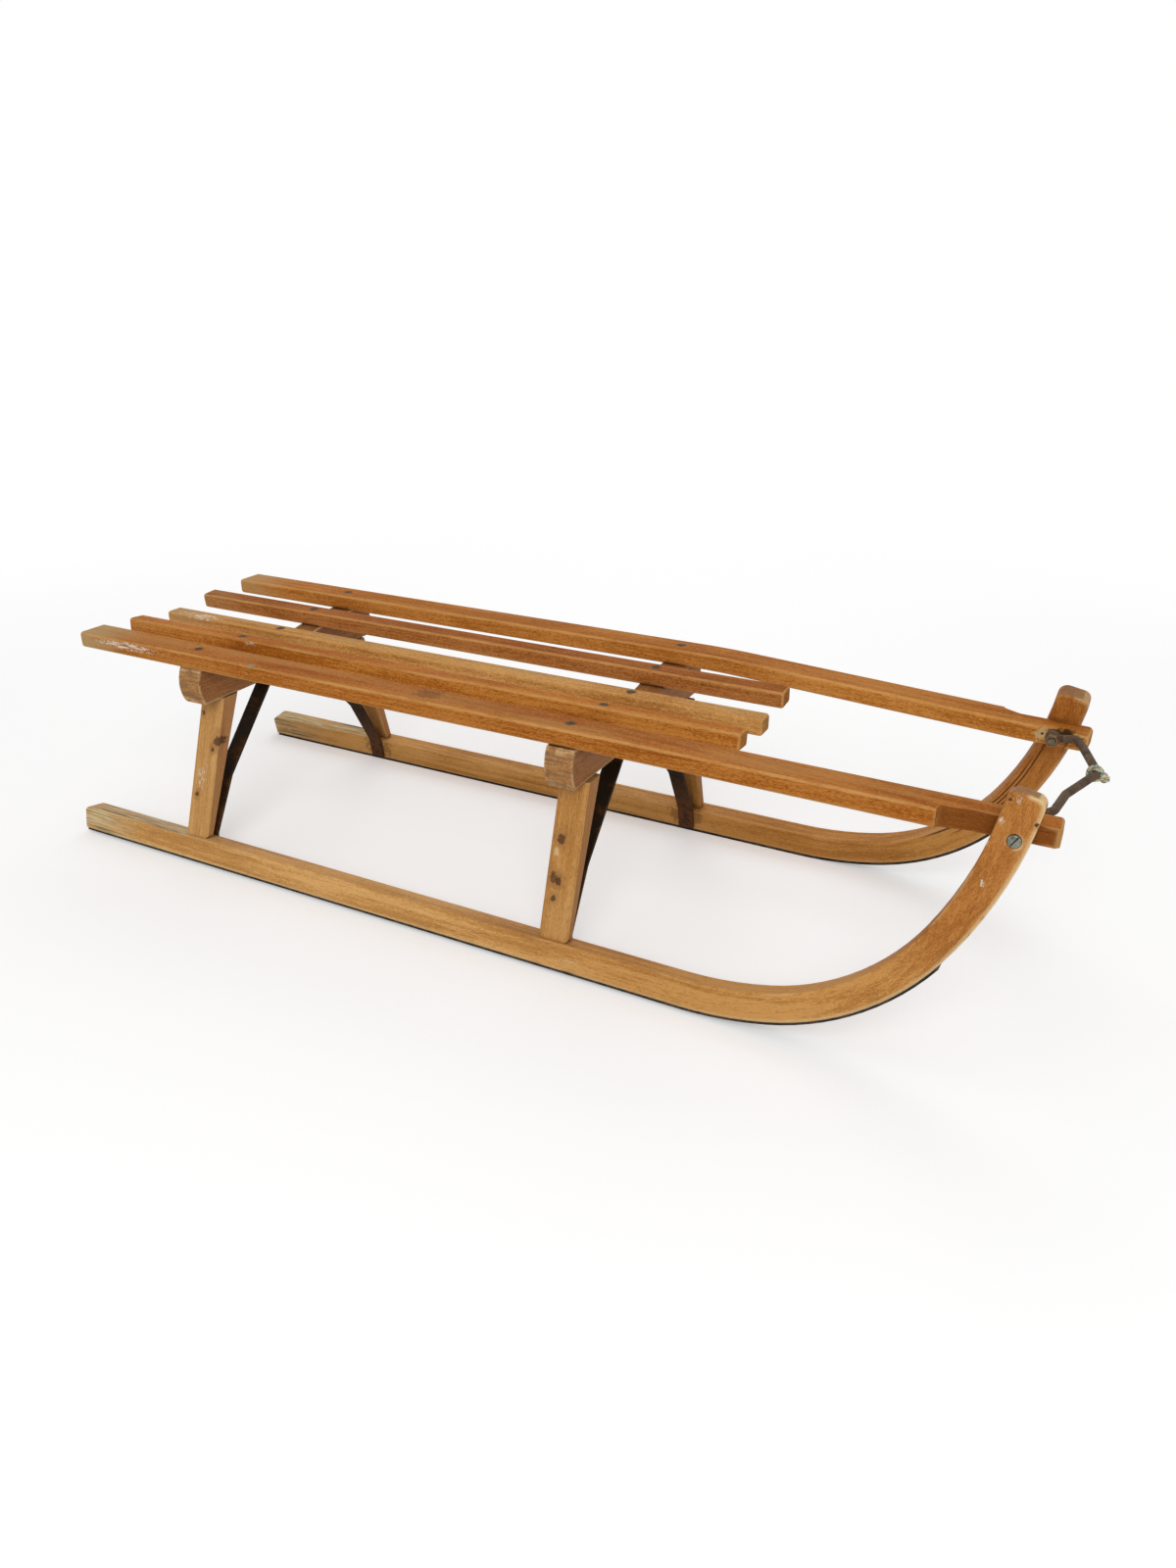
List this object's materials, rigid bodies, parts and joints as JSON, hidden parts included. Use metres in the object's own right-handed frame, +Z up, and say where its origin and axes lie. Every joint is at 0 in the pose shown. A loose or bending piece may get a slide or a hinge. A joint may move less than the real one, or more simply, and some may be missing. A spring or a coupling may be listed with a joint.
{
  "type": "wooden slatted sled",
  "caption": "Wooden snow sled with long slats on two trestles, bent runners with steel shoes, iron braces and a hinged iron pull bow.",
  "frame": {"origin": "on the floor under the middle of the whole sled", "axes": "+X forward to the curled tips, +Y to the sled's left, +Z up"},
  "size_m": [1.0358, 0.344, 0.248],
  "materials": {
    "runner_wood": "worn varnish on bent golden wood",
    "trestle_wood": "worn varnish",
    "slat_wood": "worn reddish varnish",
    "shoe_steel": "dark bare steel",
    "brace_iron": "dark iron, rusty at the ends",
    "screw_steel": "dark slotted screws",
    "bolt_steel": "dull zinc plate",
    "bow_iron": "brown rust",
    "cord": "frayed twisted cord"
  },
  "bodies": {
    "sled": {"runner_left": "runner_wood", "runner_right": "runner_wood", "runner_shoe_left": "shoe_steel", "runner_shoe_right": "shoe_steel", "beam_rear": "trestle_wood", "beam_front": "trestle_wood", "leg_rear_left": "trestle_wood", "leg_rear_right": "trestle_wood", "leg_front_left": "trestle_wood", "leg_front_right": "trestle_wood", "brace_rear_left": "brace_iron", "brace_rear_right": "brace_iron", "brace_front_left": "brace_iron", "brace_front_right": "brace_iron", "slat_outer_left": "slat_wood", "slat_inner_left": "slat_wood", "slat_centre": "slat_wood", "slat_inner_right": "slat_wood", "slat_outer_right": "slat_wood", "slat_screws_rear": "screw_steel", "slat_screws_front": "screw_steel", "brace_screws_rear": "screw_steel", "brace_screws_front": "screw_steel", "tip_bolt_left": "bolt_steel", "tip_bolt_right": "bolt_steel", "tip_nut_left": "bolt_steel", "tip_nut_right": "bolt_steel", "tip_washer_left": "bolt_steel", "tip_washer_right": "bolt_steel"},
    "bow": {"pull_bow": "bow_iron", "cord_knot": "cord"}
  },
  "joints": [
    {"name": "pull_bow_hinge", "type": "hinge", "parent": "sled", "child": "bow", "pos_m": [0.4642, 0, 0.21143], "axis": [0, 1, 0], "range_deg": [-78, 102]}
  ]
}
